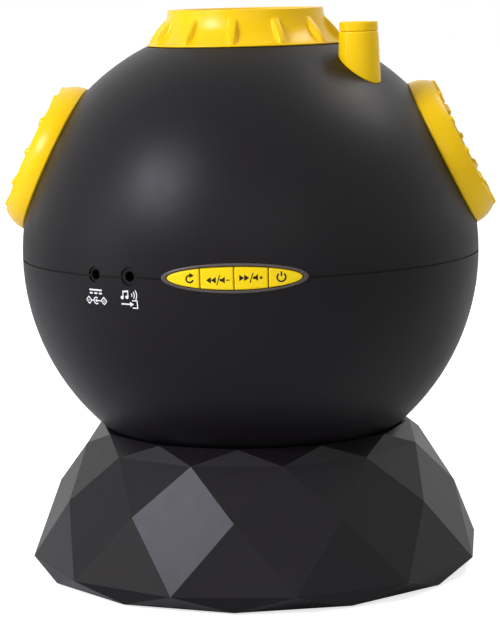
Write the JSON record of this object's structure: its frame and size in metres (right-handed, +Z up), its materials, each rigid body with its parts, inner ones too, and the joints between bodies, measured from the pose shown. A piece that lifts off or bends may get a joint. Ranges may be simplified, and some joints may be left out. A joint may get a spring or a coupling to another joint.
{
  "type": "planetarium projector",
  "caption": "Ball-shaped home star projector with top focus ring, side speakers and rear keys, turning and tilting in a faceted stand.",
  "frame": {"origin": "on the ground under the middle of the stand", "axes": "+Z up along the lens axis, -Y towards the keys and sockets at the rear, X through the two speakers"},
  "size_m": [0.1838, 0.1709, 0.2086],
  "materials": {
    "stand_black": "satin moulded",
    "ball_black": "soft-touch matte",
    "yellow": "glossy moulded",
    "key_yellow": "glossy moulded",
    "bezel_grey": "satin",
    "rubber": "matte",
    "screw_steel": "zinc plated",
    "lens_black": "fine ribbed matte",
    "lens_glass": "coated",
    "frame_black": "matte",
    "board_white": "matt",
    "lamp_resin": "clear resin",
    "sink_metal": "anodised",
    "gear_white": "moulded",
    "film_black": "star film on glass",
    "motor_metal": "plain",
    "board_green": "solder mask",
    "grille_black": "matte",
    "basket_metal": "satin",
    "cone_paper": "pressed",
    "magnet_iron": "ferrite",
    "socket_black": "matte"
  },
  "bodies": {
    "base": {"base_shell": "stand_black", "base_plate": "stand_black", "base_feet": "rubber", "base_screws": "screw_steel"},
    "seat": {"seat_ring": "rubber"},
    "ball": {"upper_shell": "ball_black", "lower_shell": "ball_black", "shell_screws": "screw_steel", "lens_mount": "lens_black", "mount_screws": "screw_steel", "projector_frame": "frame_black", "condenser_lens": "lens_glass", "lamp_board": "board_white", "star_lamp": "lamp_resin", "heat_sink": "sink_metal", "lamp_screws": "screw_steel", "motor": "motor_metal", "meteor_tube": "yellow", "meteor_cap": "yellow", "meteor_lens": "lens_glass", "meteor_board": "board_green", "meteor_lamp": "lamp_resin", "speaker_ring_right": "yellow", "speaker_ring_left": "yellow", "speaker_grille_right": "grille_black", "speaker_grille_left": "grille_black", "speaker_basket_right": "basket_metal", "speaker_basket_left": "basket_metal", "speaker_cone_right": "cone_paper", "speaker_cone_left": "cone_paper", "speaker_magnet_right": "magnet_iron", "speaker_magnet_left": "magnet_iron", "control_bezel": "bezel_grey", "key_board": "board_green", "key_switches": "socket_black", "main_board": "board_green", "board_screws": "screw_steel", "board_parts": "socket_black", "dc_jack": "socket_black", "audio_jack": "socket_black"},
    "focus": {"focus_ring": "yellow"},
    "lens": {"lens_barrel": "lens_black", "front_lens": "lens_glass", "rear_lens": "lens_glass", "lens_retainer": "lens_black"},
    "disc": {"disc_gear": "gear_white", "star_disc": "film_black", "disc_clamp": "frame_black"},
    "pinion": {"motor_pinion": "gear_white"},
    "mode_key": {"key_mode": "key_yellow"},
    "previous_key": {"key_previous": "key_yellow"},
    "next_key": {"key_next": "key_yellow"},
    "power_key": {"key_power": "key_yellow"}
  },
  "joints": [
    {"name": "pan", "type": "hinge", "parent": "base", "child": "seat", "pos_m": [0, 0, 0.1188], "axis": [0, 0, 1], "continuous": true},
    {"name": "tilt", "type": "hinge", "parent": "seat", "child": "ball", "pos_m": [0, 0, 0.1188], "axis": [1, 0, 0], "range_deg": [-35, 35]},
    {"name": "focus_turn", "type": "hinge", "parent": "ball", "child": "focus", "pos_m": [0, 0, 0.1188], "axis": [0, 0, 1], "range_deg": [-60, 60]},
    {"name": "lens_slide", "type": "slide", "parent": "ball", "child": "lens", "axis": [0, 0, 1], "range_m": [-0.0021, 0.0021]},
    {"name": "disc_turn", "type": "hinge", "parent": "ball", "child": "disc", "pos_m": [0, 0, 0.1188], "axis": [0, 0, 1], "continuous": true},
    {"name": "pinion_turn", "type": "hinge", "parent": "ball", "child": "pinion", "pos_m": [0, 0.0337, 0.1188], "axis": [0, 0, 1], "continuous": true},
    {"name": "mode_press", "type": "slide", "parent": "ball", "child": "mode_key", "axis": [0, 1, 0], "range_m": [0, 0.0006], "stiffness_N_per_m": 800},
    {"name": "previous_press", "type": "slide", "parent": "ball", "child": "previous_key", "axis": [0, 1, 0], "range_m": [0, 0.0006], "stiffness_N_per_m": 800},
    {"name": "next_press", "type": "slide", "parent": "ball", "child": "next_key", "axis": [0, 1, 0], "range_m": [0, 0.0006], "stiffness_N_per_m": 800},
    {"name": "power_press", "type": "slide", "parent": "ball", "child": "power_key", "axis": [0, 1, 0], "range_m": [0, 0.0006], "stiffness_N_per_m": 800}
  ],
  "couplings": [
    {"joint": "lens_slide", "follows": "focus_turn", "m_per_rad": 0.0019099},
    {"joint": "pinion_turn", "follows": "disc_turn", "ratio": -5}
  ]
}
